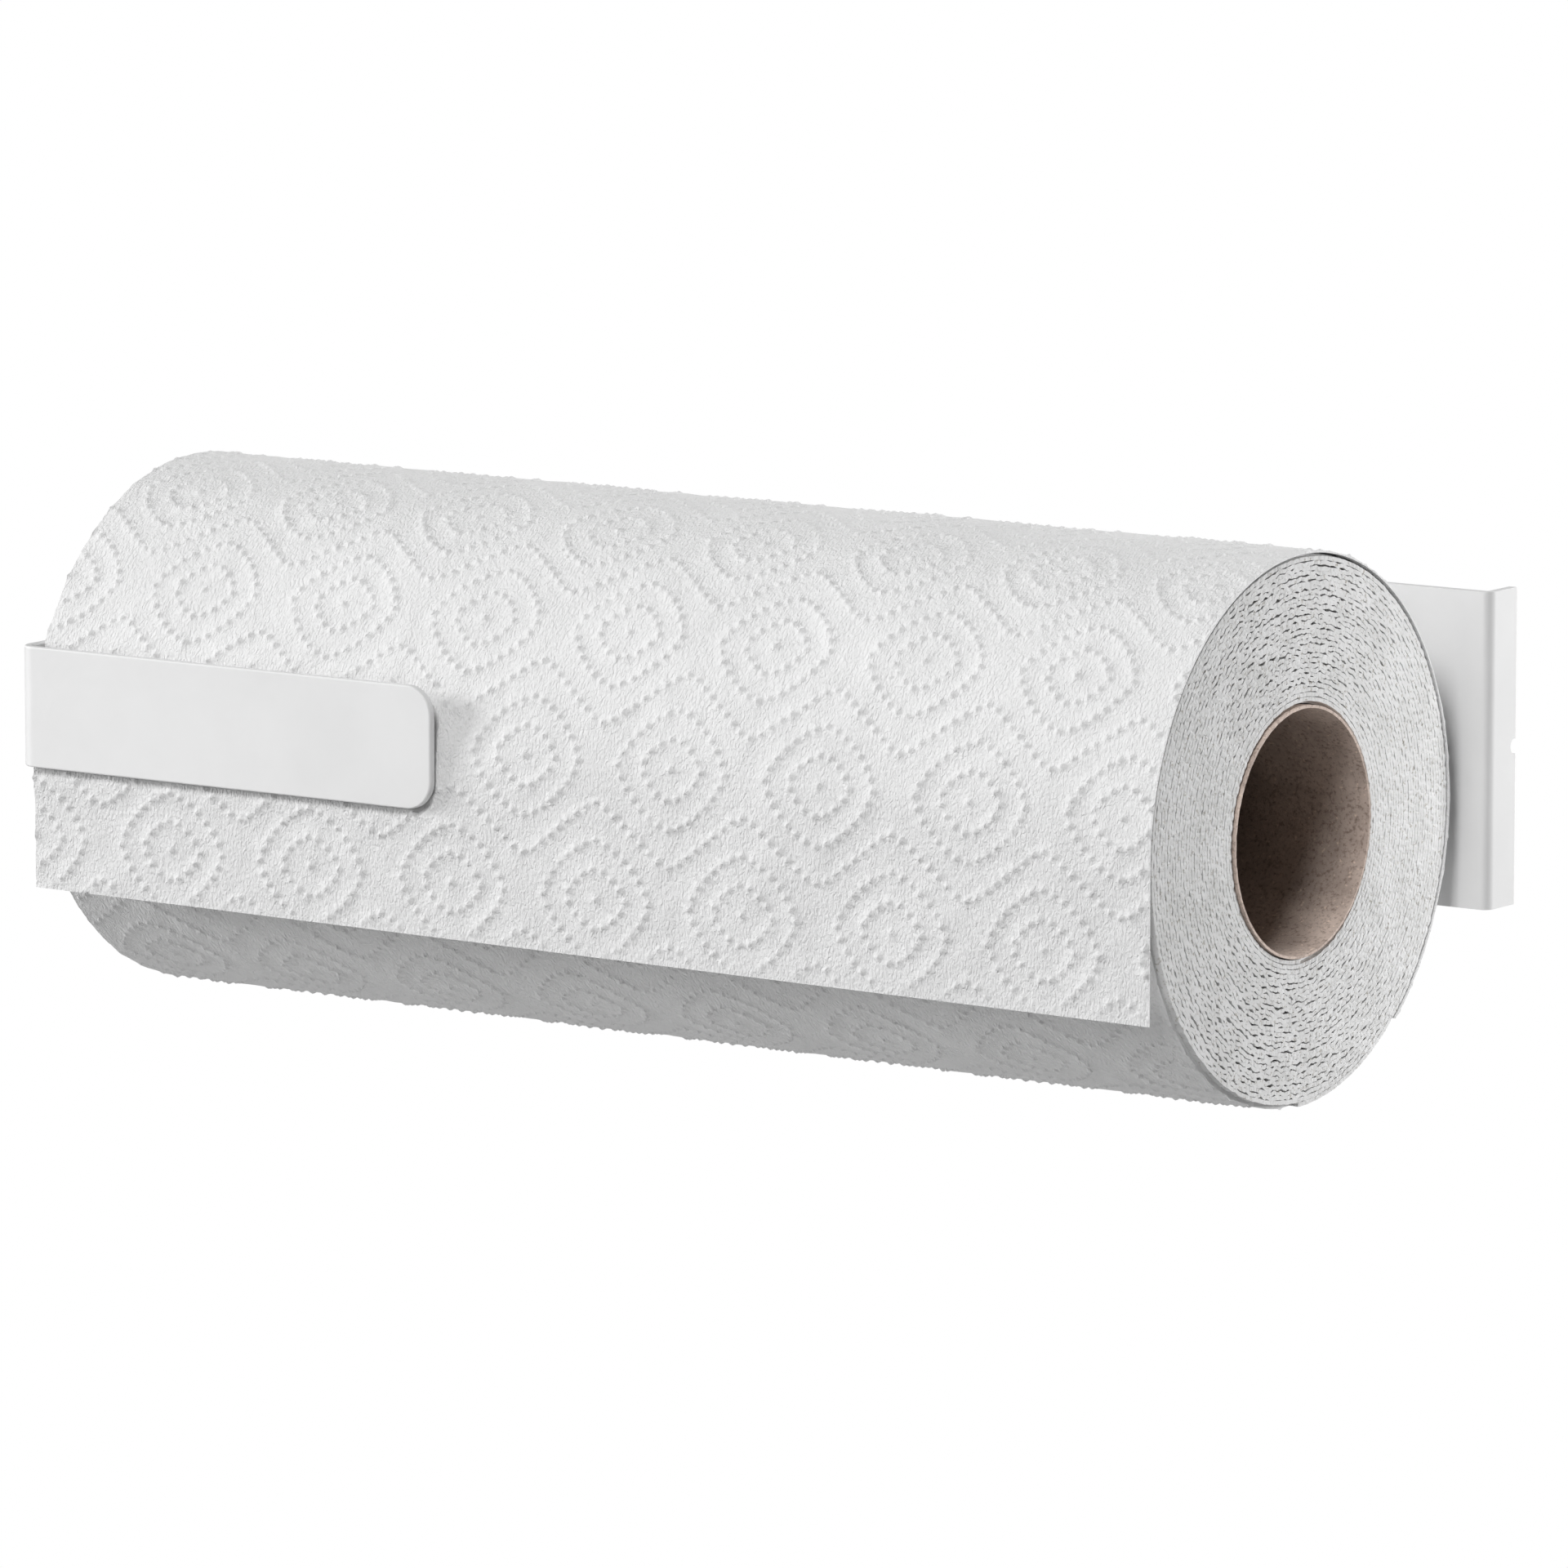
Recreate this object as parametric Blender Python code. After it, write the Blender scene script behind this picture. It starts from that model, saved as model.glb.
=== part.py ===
"""Paper towel holder: a folded back channel held by magnets, a bent arm strip, a stub spindle and its roll.

Frame: +Z up, the wall is the plane Y = 0, the holder faces -Y and its spindle points along +X.
The origin is at the middle of the holder's height and width, on the wall.
"""

import math

import bmesh
import bpy
from mathutils import Matrix

# ---- driving dimensions, in metres -------------------------------------------------------------
GAP = 0.0003  # clearance kept between neighbouring pieces

CHANNEL_WIDTH = 0.240
CHANNEL_HEIGHT = 0.054
CHANNEL_DEPTH = 0.0084
CHANNEL_SHEET = 0.0015
CHANNEL_BEND = 0.0018  # outside radius of each fold
WALL_SHADOW = 0.0004  # the flanges stop this far short of the wall, so the magnets seat
NOTCH_HEIGHT = 0.0026
NOTCH_DEPTH = 0.0016

ROLL_RADIUS = 0.0458
ROLL_LENGTH = 0.2289
ROLL_TO_CHANNEL = 0.0048  # free space between the roll and the channel's face
ROLL_DROP = 0.0074  # the core hangs on the spindle, so its axis is below the spindle's
CORE_OUTER = 0.0210
CORE_WALL = 0.0007
CORE_PROUD = 0.0005
ROLL_TO_ARM = 0.0004

SHEET_THICK = 0.0004
SHEET_WRAP_DEG = 230.0  # how far the outermost turn lies on the roll, from the front over the top
SHEET_HANG_LEFT = 0.0244  # how far the free end hangs below the roll's axis
SHEET_HANG_RIGHT = 0.0258
SHEET_TO_ARM = 0.0007
SHEET_INSET = 0.0004  # the sheet's right edge lies this far inside the roll's

STRIP_HEIGHT = 0.0210
STRIP_THICK = 0.0015
STRIP_BEND = 0.0035  # outside radius of each fold
STRIP_CORNER = 0.0050
STRIP_TO_SHEET = 0.0005
STRIP_END_X = -0.0277
ARM_OUTER_X = -0.1163
FOOT_END_X = -0.0860
FOOT_CORNER = 0.0030
SINK_GAP = 0.00042  # radial play round a countersunk head

SPINDLE_RADIUS = 0.0125
SPINDLE_WALL = 0.0015
SPINDLE_TIP_X = 0.0860
SPINDLE_CAP = 0.0040  # length of the cap that shows beyond the tube
CAP_ROUNDING = 0.0025
CAP_STEM = 0.0100  # length of the cap inside the tube
PLUG_LENGTH = 0.0120
PLUG_SPARE = 0.0010  # the screw stops this far short of the plug's far end

MAGNET_XS = {"left": -0.067, "middle": 0.0, "right": 0.067}
MAGNET_RADIUS = 0.0215
MAGNET_HEIGHT = 0.0069
JACKET_WALL = 0.0016
JACKET_SKIN = 0.0010
JACKET_RIM = 0.0006  # chamfer round the jacket
MAGNET_SCREW_SPARE = 0.0006  # the screw stops this far short of the disc's far face

M4_SHANK = 0.0019
M4_HEAD = 0.0036
M4_LOW_HEAD = 0.0013  # height of the magnet screws' flat heads
M4_CHAMFER = 0.0006
M4_SOCKET = 0.00145  # across corners, halved
M4_SOCKET_DEEP = 0.0011  # in the countersunk heads
M4_SOCKET_FLAT = 0.0009  # in the flat heads
ARM_SCREW_XS = {"outer": -0.107, "inner": -0.094}
NUT_CORNER = 0.00404
NUT_HEIGHT = 0.0032
NUT_SPARE = 0.0004  # the screw comes this far out of its nut
M6_SHANK = 0.0028
M6_HEAD = 0.0058
M6_HEAD_HEIGHT = 0.0020
M6_CHAMFER = 0.0005
M6_SOCKET = 0.0023
M6_SOCKET_DEPTH = 0.0015

ROUND = 72  # sides of the roll
FINE = 32  # sides of the small turned pieces
CUT_OVER = 0.0010  # how far a cutter stands out of the surface that it cuts
CUT_THROUGH = 0.0200  # how far a cutter reaches where it goes right through

# ---- places worked out from them ---------------------------------------------------------------
CHANNEL_REAR_Y = -WALL_SHADOW
CHANNEL_FACE_Y = CHANNEL_REAR_Y - CHANNEL_DEPTH
CHANNEL_INNER_Y = CHANNEL_FACE_Y + CHANNEL_SHEET
SHEET_OUTER = ROLL_RADIUS + GAP + SHEET_THICK
ROLL_Y = CHANNEL_FACE_Y - ROLL_TO_CHANNEL - ROLL_RADIUS
ROLL_Z = -ROLL_DROP
ARM_INNER_X = ARM_OUTER_X + STRIP_THICK
ROLL_LEFT_X = ARM_INNER_X + ROLL_TO_ARM
ROLL_RIGHT_X = ROLL_LEFT_X + ROLL_LENGTH
STRIP_BACK_Y = ROLL_Y - SHEET_OUTER - STRIP_TO_SHEET
STRIP_FRONT_Y = STRIP_BACK_Y - STRIP_THICK
FOOT_BACK_Y = CHANNEL_FACE_Y - GAP
FOOT_FRONT_Y = FOOT_BACK_Y - STRIP_THICK


# ---- scene and materials -----------------------------------------------------------------------
def clear_scene():
    for old in list(bpy.data.objects):
        bpy.data.objects.remove(old, do_unlink=True)


def finish(name, colour, roughness, metallic):
    made = bpy.data.materials.new(name)
    made.use_nodes = True
    shader = made.node_tree.nodes["Principled BSDF"]
    shader.inputs["Base Color"].default_value = (*colour, 1.0)
    shader.inputs["Roughness"].default_value = roughness
    shader.inputs["Metallic"].default_value = metallic
    return made


# ---- shape tools -------------------------------------------------------------------------------
def to_object(name, mesh_bm, material, place=(0, 0, 0), sharp_deg=35.0):
    """Turns a bmesh into a named object with its normals outwards and its round faces smooth."""
    bmesh.ops.remove_doubles(mesh_bm, verts=mesh_bm.verts, dist=1e-7)
    bmesh.ops.recalc_face_normals(mesh_bm, faces=mesh_bm.faces)
    mesh = bpy.data.meshes.new(name)
    mesh_bm.to_mesh(mesh)
    mesh_bm.free()
    mesh.shade_smooth()
    mesh.set_sharp_from_angle(angle=math.radians(sharp_deg))
    mesh.materials.append(material)
    made = bpy.data.objects.new(name, mesh)
    made.location = place
    bpy.context.scene.collection.objects.link(made)
    return made


def arc(centre, radius, start_deg, end_deg, steps):
    """Points along a circular arc in a plane, both ends included."""
    points = []
    for step in range(steps + 1):
        angle = math.radians(start_deg + (end_deg - start_deg) * step / steps)
        points.append((centre[0] + radius * math.cos(angle), centre[1] + radius * math.sin(angle)))
    return points


def prism(outline, axis, low, high):
    """Extrudes a closed outline along an axis; the outline lies in the other two axes, in X, Y, Z order."""
    index = "XYZ".index(axis)
    base = []
    mesh_bm = bmesh.new()
    for first, second in outline:
        point = [first, second]
        point.insert(index, low)
        base.append(mesh_bm.verts.new(point))
    face = mesh_bm.faces.new(base)
    moved = bmesh.ops.extrude_face_region(mesh_bm, geom=[face])
    shift = [0.0, 0.0, 0.0]
    shift[index] = high - low
    fresh = [item for item in moved["geom"] if isinstance(item, bmesh.types.BMVert)]
    bmesh.ops.translate(mesh_bm, vec=shift, verts=fresh)
    return mesh_bm


def turned(profile, axis="X", sides=FINE, ring=False):
    """Turns a profile of (along, radius) points about an axis; a ring's profile closes on itself."""
    mesh_bm = bmesh.new()
    corners = [mesh_bm.verts.new((along, 0.0, radius)) for along, radius in profile]
    pairs = list(zip(corners, corners[1:]))
    if ring:
        pairs.append((corners[-1], corners[0]))
    edges = [mesh_bm.edges.new(pair) for pair in pairs]
    bmesh.ops.spin(
        mesh_bm,
        geom=corners + edges,
        cent=(0, 0, 0),
        axis=(1, 0, 0),
        angle=math.tau,
        steps=sides,
        use_merge=True,
    )
    bmesh.ops.remove_doubles(mesh_bm, verts=mesh_bm.verts, dist=1e-7)
    if axis == "Y":
        turn = Matrix.Rotation(math.radians(90), 4, "Z")
        bmesh.ops.transform(mesh_bm, matrix=turn, verts=mesh_bm.verts)
    return mesh_bm


def cut(target, cutter):
    cutter.hide_render = True
    cutter.display_type = "WIRE"
    modifier = target.modifiers.new("cut_" + cutter.name, "BOOLEAN")
    modifier.operation = "DIFFERENCE"
    modifier.solver = "EXACT"
    modifier.object = cutter


def round_hole(radius):
    """Profile of a cutter for a round hole right through, centred on its place."""
    return [(-CUT_THROUGH, 0.0), (-CUT_THROUGH, radius), (CUT_THROUGH, radius), (CUT_THROUGH, 0.0)]


def hex_socket(name, corner_radius, depth, axis, place, target, material):
    """Cuts a hexagon recess into a screw's head, which faces against the axis."""
    recess = turned([(-CUT_OVER, 0.0), (-CUT_OVER, corner_radius), (depth, corner_radius), (depth, 0.0)], axis, 6)
    cut(target, to_object(name + "_socket_cutter", recess, material, place))


# ---- the folded back channel --------------------------------------------------------------------
def back_channel(white):
    half = CHANNEL_WIDTH / 2
    face, rear = CHANNEL_FACE_Y, CHANNEL_REAR_Y
    fold = CHANNEL_BEND
    inside = fold - CHANNEL_SHEET
    right_outer = arc((half - fold, face + fold), fold, -90, 0, 6)
    right_inner = arc((half - fold, face + fold), inside, 0, -90, 3)
    outer = right_outer + [(half, rear), (half - CHANNEL_SHEET, rear)] + right_inner
    mirrored = [(-x, y) for x, y in reversed(outer)]
    made = to_object("back_channel", prism(outer + mirrored, "Z", -CHANNEL_HEIGHT / 2, CHANNEL_HEIGHT / 2), white)
    for x in list(MAGNET_XS.values()) + list(ARM_SCREW_XS.values()):
        hole = turned(round_hole(M4_SHANK + GAP), "Y", 24)
        cut(made, to_object(f"channel_hole_cutter_{len(made.modifiers)}", hole, white, (x, face, 0)))
    bottom = arc((rear - NOTCH_DEPTH + NOTCH_HEIGHT / 2, 0), NOTCH_HEIGHT / 2, 90, 270, 12)
    slot = bottom + [(CUT_OVER, -NOTCH_HEIGHT / 2), (CUT_OVER, NOTCH_HEIGHT / 2)]
    cut(made, to_object("notch_cutter", prism(slot, "X", -half - CUT_OVER, half + CUT_OVER), white))
    return made


# ---- the arm strip with its front bar, side arm and foot ----------------------------------------
def arm_strip(white):
    outer, inner = STRIP_BEND, STRIP_BEND - STRIP_THICK
    front_centre = (ARM_OUTER_X + outer, STRIP_FRONT_Y + outer)
    foot_centre = (ARM_OUTER_X + outer, FOOT_BACK_Y - outer)
    outline = [(STRIP_END_X, STRIP_BACK_Y), (STRIP_END_X, STRIP_FRONT_Y)]
    outline += arc(front_centre, outer, 270, 180, 8)
    outline += arc(foot_centre, outer, 180, 90, 8)
    outline += [(FOOT_END_X, FOOT_BACK_Y), (FOOT_END_X, FOOT_FRONT_Y)]
    outline += arc(foot_centre, inner, 90, 180, 6)
    outline += arc(front_centre, inner, 180, 270, 6)
    body = prism(outline, "Z", -STRIP_HEIGHT / 2, STRIP_HEIGHT / 2)
    for end_x, radius in ((STRIP_END_X, STRIP_CORNER), (FOOT_END_X, FOOT_CORNER)):
        corners = [
            edge
            for edge in body.edges
            if all(abs(v.co.x - end_x) < 1e-6 for v in edge.verts)
            and abs(edge.verts[0].co.z - edge.verts[1].co.z) < 1e-6
        ]
        bmesh.ops.bevel(body, geom=corners, offset=radius, segments=8, profile=0.5, affect="EDGES")
    made = to_object("arm_strip", body, white)
    for side, x in ARM_SCREW_XS.items():
        hole = turned(countersunk(CUT_THROUGH, M4_HEAD + SINK_GAP, M4_SHANK + GAP, CUT_OVER), "Y", 24)
        cut(made, to_object(f"foot_hole_cutter_{side}", hole, white, (x, FOOT_FRONT_Y, 0)))
    axle = turned(round_hole(M6_SHANK + GAP), "X", 24)
    cut(made, to_object("spindle_hole_cutter", axle, white, (ARM_OUTER_X, ROLL_Y, 0)))
    return made


def countersunk(length, head, shank, above=0.0):
    """Profile of a countersunk screw whose flat head top is at 0; above is how far a cutter stands over it."""
    profile = [(-above, 0.0), (-above, head)] if above else [(0.0, 0.0)]
    profile += [(0.0, head), (head - shank, shank), (length, shank), (length, 0.0)]
    return profile


# ---- screws and nuts that fix the arm's foot ----------------------------------------------------
def arm_fixings(steel):
    for side, x in ARM_SCREW_XS.items():
        length = CHANNEL_INNER_Y + GAP + NUT_HEIGHT + NUT_SPARE - FOOT_FRONT_Y
        place = (x, FOOT_FRONT_Y, 0)
        screw = to_object(f"arm_screw_{side}", turned(countersunk(length, M4_HEAD, M4_SHANK), "Y"), steel, place)
        hex_socket(screw.name, M4_SOCKET, M4_SOCKET_DEEP, "Y", place, screw, steel)
        hexagon = turned([(0.0, 0.0), (0.0, NUT_CORNER), (NUT_HEIGHT, NUT_CORNER), (NUT_HEIGHT, 0.0)], "Y", 6)
        nut_place = (x, CHANNEL_INNER_Y + GAP, 0)
        nut = to_object(f"arm_nut_{side}", hexagon, steel, nut_place)
        thread = turned(round_hole(M4_SHANK + GAP), "Y", 24)
        cut(nut, to_object(f"arm_nut_{side}_cutter", thread, steel, nut_place))


# ---- the spindle --------------------------------------------------------------------------------
def spindle(white, plastic, steel):
    left = ARM_INNER_X + GAP
    tube_end = SPINDLE_TIP_X - SPINDLE_CAP - GAP
    bore = SPINDLE_RADIUS - SPINDLE_WALL
    fill = bore - GAP
    place = (0, ROLL_Y, 0)
    tube = [(left, bore), (left, SPINDLE_RADIUS), (tube_end, SPINDLE_RADIUS), (tube_end, bore)]
    to_object("spindle_tube", turned(tube, "X", 48, ring=True), white, place)

    thread = M6_SHANK + GAP
    plug = [(left, thread), (left, fill), (left + PLUG_LENGTH, fill), (left + PLUG_LENGTH, thread)]
    to_object("spindle_plug", turned(plug, "X", FINE, ring=True), steel, place)

    cap_start = SPINDLE_TIP_X - SPINDLE_CAP
    dome = arc((SPINDLE_TIP_X - CAP_ROUNDING, SPINDLE_RADIUS - CAP_ROUNDING), CAP_ROUNDING, 90, 0, 5)
    cap = [(tube_end - CAP_STEM, 0.0), (tube_end - CAP_STEM, fill), (cap_start, fill)]
    cap += [(cap_start, SPINDLE_RADIUS)] + dome + [(SPINDLE_TIP_X, 0.0)]
    to_object("spindle_cap", turned(cap, "X", 48), plastic, place)

    head_low = ARM_OUTER_X - GAP - M6_HEAD_HEIGHT
    head_high = ARM_OUTER_X - GAP
    tip = left + PLUG_LENGTH - PLUG_SPARE
    rim = M6_CHAMFER
    screw = [(head_low, 0.0), (head_low, M6_HEAD - rim), (head_low + rim, M6_HEAD), (head_high, M6_HEAD)]
    screw += [(head_high, M6_SHANK), (tip, M6_SHANK), (tip, 0.0)]
    made = to_object("spindle_screw", turned(screw, "X"), steel, place)
    hex_socket(made.name, M6_SOCKET, M6_SOCKET_DEPTH, "X", (head_low, ROLL_Y, 0), made, steel)


# ---- the rubber-coated magnets that hold the channel to a steel wall -----------------------------
def magnets(rubber, magnet_steel, steel):
    back_y, front_y = 0.0, -MAGNET_HEIGHT
    bore = M4_SHANK + GAP
    for side, x in MAGNET_XS.items():
        rim = JACKET_RIM
        inside = MAGNET_RADIUS - JACKET_WALL
        jacket = [(front_y, inside), (front_y, MAGNET_RADIUS - rim), (front_y + rim, MAGNET_RADIUS)]
        jacket += [(back_y - rim, MAGNET_RADIUS), (back_y, MAGNET_RADIUS - rim), (back_y, 0.0)]
        jacket = [(back_y - JACKET_SKIN, 0.0), (back_y - JACKET_SKIN, inside)] + jacket
        to_object(f"magnet_jacket_{side}", turned(jacket, "Y", 48), rubber, (x, 0, 0))

        low, high = front_y, back_y - JACKET_SKIN - GAP
        radius = inside - GAP
        disc = [(low, bore), (low, radius), (high, radius), (high, bore)]
        to_object(f"magnet_disc_{side}", turned(disc, "Y", 40, ring=True), magnet_steel, (x, 0, 0))

        head_low = CHANNEL_FACE_Y - GAP - M4_LOW_HEAD
        head_high = CHANNEL_FACE_Y - GAP
        tip = high - MAGNET_SCREW_SPARE
        rim = M4_CHAMFER
        screw = [(head_low, 0.0), (head_low, M4_HEAD - rim), (head_low + rim, M4_HEAD), (head_high, M4_HEAD)]
        screw += [(head_high, M4_SHANK), (tip, M4_SHANK), (tip, 0.0)]
        made = to_object(f"magnet_screw_{side}", turned(screw, "Y"), steel, (x, 0, 0))
        hex_socket(made.name, M4_SOCKET, M4_SOCKET_FLAT, "Y", (x, head_low, 0), made, steel)


# ---- the paper roll, its core and its loose end --------------------------------------------------
def guide(name, place):
    made = bpy.data.objects.new(name, None)
    made.location = place
    bpy.context.scene.collection.objects.link(made)
    return made


def roll(paper, board):
    axis = guide("roll_axis", (0, ROLL_Y, ROLL_Z))
    inner = CORE_OUTER - CORE_WALL
    right = ROLL_RIGHT_X + CORE_PROUD
    core = [(ROLL_LEFT_X, inner), (ROLL_LEFT_X, CORE_OUTER), (right, CORE_OUTER), (right, inner)]
    to_object("core_tube", turned(core, "X", 64, ring=True), board).parent = axis
    bore = CORE_OUTER + GAP
    body = [(ROLL_LEFT_X, bore), (ROLL_LEFT_X, ROLL_RADIUS), (ROLL_RIGHT_X, ROLL_RADIUS), (ROLL_RIGHT_X, bore)]
    to_object("paper_roll", turned(body, "X", ROUND, ring=True), paper).parent = axis


def loose_sheet(paper):
    """The outermost turn over the roll's top and the free end that hangs behind the front bar."""
    low, high = ROLL_RADIUS + GAP, SHEET_OUTER
    steps = round(SHEET_WRAP_DEG / 5)
    start, end = 180.0, 180.0 - SHEET_WRAP_DEG
    outline = [(-high, -SHEET_HANG_LEFT)] + arc((0, 0), high, start, end, steps)
    outline += arc((0, 0), low, end, start, steps) + [(-low, -SHEET_HANG_LEFT)]
    left, right = ARM_INNER_X + SHEET_TO_ARM, ROLL_RIGHT_X - SHEET_INSET
    body = prism(outline, "X", left, right)
    for vert in body.verts:
        if vert.co.x > 0 and abs(vert.co.z + SHEET_HANG_LEFT) < 1e-6 and vert.co.y < -low + 1e-6:
            vert.co.z = -SHEET_HANG_RIGHT
    made = to_object("loose_sheet", body, paper)
    made.parent = guide("roll_carrier", (0, ROLL_Y, ROLL_Z))


def build():
    clear_scene()
    white = finish("white_powder_coat", (0.83, 0.83, 0.83), 0.38, 0.0)
    steel = finish("zinc_plated_steel", (0.62, 0.62, 0.60), 0.35, 1.0)
    plastic = finish("white_plastic", (0.80, 0.80, 0.79), 0.40, 0.0)
    rubber = finish("black_rubber", (0.03, 0.03, 0.03), 0.75, 0.0)
    magnet_steel = finish("magnet_steel", (0.25, 0.25, 0.26), 0.45, 1.0)
    paper = finish("white_paper", (0.86, 0.86, 0.86), 0.90, 0.0)
    board = finish("grey_brown_board", (0.30, 0.24, 0.20), 0.90, 0.0)
    back_channel(white)
    arm_strip(white)
    arm_fixings(steel)
    spindle(white, plastic, steel)
    magnets(rubber, magnet_steel, steel)
    roll(paper, board)
    loose_sheet(paper)


build()
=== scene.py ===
import math

import bmesh
import bpy
from mathutils import Matrix, Vector
from mathutils.geometry import delaunay_2d_cdt
from mathutils.kdtree import KDTree


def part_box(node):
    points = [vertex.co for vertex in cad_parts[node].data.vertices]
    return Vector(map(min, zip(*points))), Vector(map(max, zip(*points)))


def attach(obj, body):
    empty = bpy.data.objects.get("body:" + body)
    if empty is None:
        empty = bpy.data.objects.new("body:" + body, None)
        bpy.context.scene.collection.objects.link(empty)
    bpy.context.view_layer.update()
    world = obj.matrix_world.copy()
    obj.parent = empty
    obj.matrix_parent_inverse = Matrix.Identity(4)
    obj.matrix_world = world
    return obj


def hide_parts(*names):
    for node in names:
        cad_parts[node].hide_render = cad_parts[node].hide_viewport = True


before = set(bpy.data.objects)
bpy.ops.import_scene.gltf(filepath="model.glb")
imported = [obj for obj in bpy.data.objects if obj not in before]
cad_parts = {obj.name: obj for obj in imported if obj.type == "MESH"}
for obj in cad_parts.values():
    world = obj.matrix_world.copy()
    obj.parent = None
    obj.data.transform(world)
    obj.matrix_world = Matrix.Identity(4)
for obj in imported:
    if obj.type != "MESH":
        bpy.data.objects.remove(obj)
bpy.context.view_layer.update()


# ---- back channel ------------------------------------------------------------------------------
# The back of the holder: 1.5 mm sheet steel, laser cut, with a flange folded back at each end and a
# half-round notch in the flange's rear edge. It is powder coated white, so its edges are soft.
SHEET_STEEL = 0.0015
FOLD_RADIUS = 0.0018
COAT_EDGE = 0.00035
NOTCH_RADIUS = 0.0013
NOTCH_CENTRE = 0.0003
M4_HOLE = 0.0022
HOLE_DEPTH = 0.01
SMOOTH_BELOW_DEG = 40.0
WELD_NEAR = 1e-7


def add_node(tree, kind, inputs=None, **settings):
    """Adds a node; each input is a socket to link from, or a value to set."""
    made = tree.nodes.new(kind)
    for name, value in settings.items():
        setattr(made, name, value)
    for key, value in (inputs or {}).items():
        if isinstance(value, bpy.types.NodeSocket):
            tree.links.new(value, made.inputs[key])
        else:
            made.inputs[key].default_value = value
    return made


def new_finish(name, roughness, metallic=0.0):
    """A material with its tree, its shader and its Object coordinates."""
    made = bpy.data.materials.new(name)
    made.use_nodes = True
    tree = made.node_tree
    shader = tree.nodes["Principled BSDF"]
    shader.inputs["Roughness"].default_value = roughness
    shader.inputs["Metallic"].default_value = metallic
    place = add_node(tree, "ShaderNodeTexCoord").outputs["Object"]
    return made, tree, shader, place


def noise(tree, place, scale, detail=2.0, rough=0.5):
    """A noise pattern; scale is in cells per metre."""
    inputs = {"Vector": place, "Scale": scale, "Detail": detail, "Roughness": rough}
    return add_node(tree, "ShaderNodeTexNoise", inputs).outputs["Fac"]


def ramp(tree, amount, low, high, start=0.0, end=1.0):
    """Blends from the low to the high colour as amount goes from start to end."""
    made = add_node(tree, "ShaderNodeValToRGB", {"Fac": amount})
    for stop, colour, place in zip(made.color_ramp.elements, (low, high), (start, end)):
        stop.color = (*colour, 1.0)
        stop.position = place
    return made.outputs["Color"]


def tint(tree, shader, amount, low, high, start=0.0, end=1.0):
    """Colours the surface with a blend from low to high."""
    tree.links.new(ramp(tree, amount, low, high, start, end), shader.inputs["Base Color"])


def bump(tree, height, strength, depth, under=None):
    """Relief from a height; depth is the height of a full step in metres."""
    inputs = {"Height": height, "Strength": strength, "Distance": depth}
    if under is not None:
        inputs["Normal"] = under
    return add_node(tree, "ShaderNodeBump", inputs).outputs["Normal"]


def uneven_gloss(tree, shader, amount, low, high):
    """Varies the roughness from low to high."""
    gloss = add_node(tree, "ShaderNodeMapRange", {"Value": amount, "To Min": low, "To Max": high})
    tree.links.new(gloss.outputs["Result"], shader.inputs["Roughness"])


def powder_coat():
    """Baked powder: a faint orange peel, fine grain and almost no change of colour."""
    made, tree, shader, place = new_finish("powder_coat_white", 0.42)
    tint(tree, shader, noise(tree, place, 60.0, 3.0), (0.80, 0.80, 0.80), (0.83, 0.83, 0.83), 0.35, 0.65)
    uneven_gloss(tree, shader, noise(tree, place, 900.0), 0.38, 0.50)
    peel = bump(tree, noise(tree, place, 650.0, 1.0), 0.30, 0.00006)
    grain = bump(tree, noise(tree, place, 4200.0, 2.0), 0.25, 0.00002, peel)
    tree.links.new(grain, shader.inputs["Normal"])
    return made


def arc(centre, radius, start_deg, end_deg, steps):
    """Points along an arc in a plane, both ends included."""
    turns = [math.radians(start_deg + (end_deg - start_deg) * step / steps) for step in range(steps + 1)]
    return [(centre[0] + radius * math.cos(turn), centre[1] + radius * math.sin(turn)) for turn in turns]


def link_mesh(name, shape, material, sharp_deg=SMOOTH_BELOW_DEG):
    """Makes a named piece of a bmesh, smooth where it is round."""
    bmesh.ops.recalc_face_normals(shape, faces=shape.faces)
    mesh = bpy.data.meshes.new(name)
    shape.to_mesh(mesh)
    shape.free()
    mesh.shade_smooth()
    mesh.set_sharp_from_angle(angle=math.radians(sharp_deg))
    mesh.materials.append(material)
    made = bpy.data.objects.new(name, mesh)
    bpy.context.scene.collection.objects.link(made)
    return made


def extrude_z(outline, low, high):
    """A solid from an outline in X and Y."""
    shape = bmesh.new()
    base = shape.faces.new([shape.verts.new((x, y, low)) for x, y in outline])
    moved = bmesh.ops.extrude_face_region(shape, geom=[base])["geom"]
    fresh = [item for item in moved if isinstance(item, bmesh.types.BMVert)]
    bmesh.ops.translate(shape, vec=(0, 0, high - low), verts=fresh)
    return shape


def cut_and_round(piece, cutters, edge, segments=3):
    """Cuts the cutters out of a piece and rounds its sharp edges; what is left is a plain mesh."""
    for cutter in cutters:
        step = piece.modifiers.new("cut", "BOOLEAN")
        step.operation = "DIFFERENCE"
        step.solver = "EXACT"
        step.object = cutter
    soften = piece.modifiers.new("soften", "BEVEL")
    soften.width = edge
    soften.segments = segments
    soften.limit_method = "ANGLE"
    soften.angle_limit = math.radians(SMOOTH_BELOW_DEG)
    soften.harden_normals = True
    depsgraph = bpy.context.evaluated_depsgraph_get()
    finished = bpy.data.meshes.new_from_object(piece.evaluated_get(depsgraph), depsgraph=depsgraph)
    piece.modifiers.clear()
    piece.data = finished
    for cutter in cutters:
        bpy.data.objects.remove(cutter, do_unlink=True)


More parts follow.
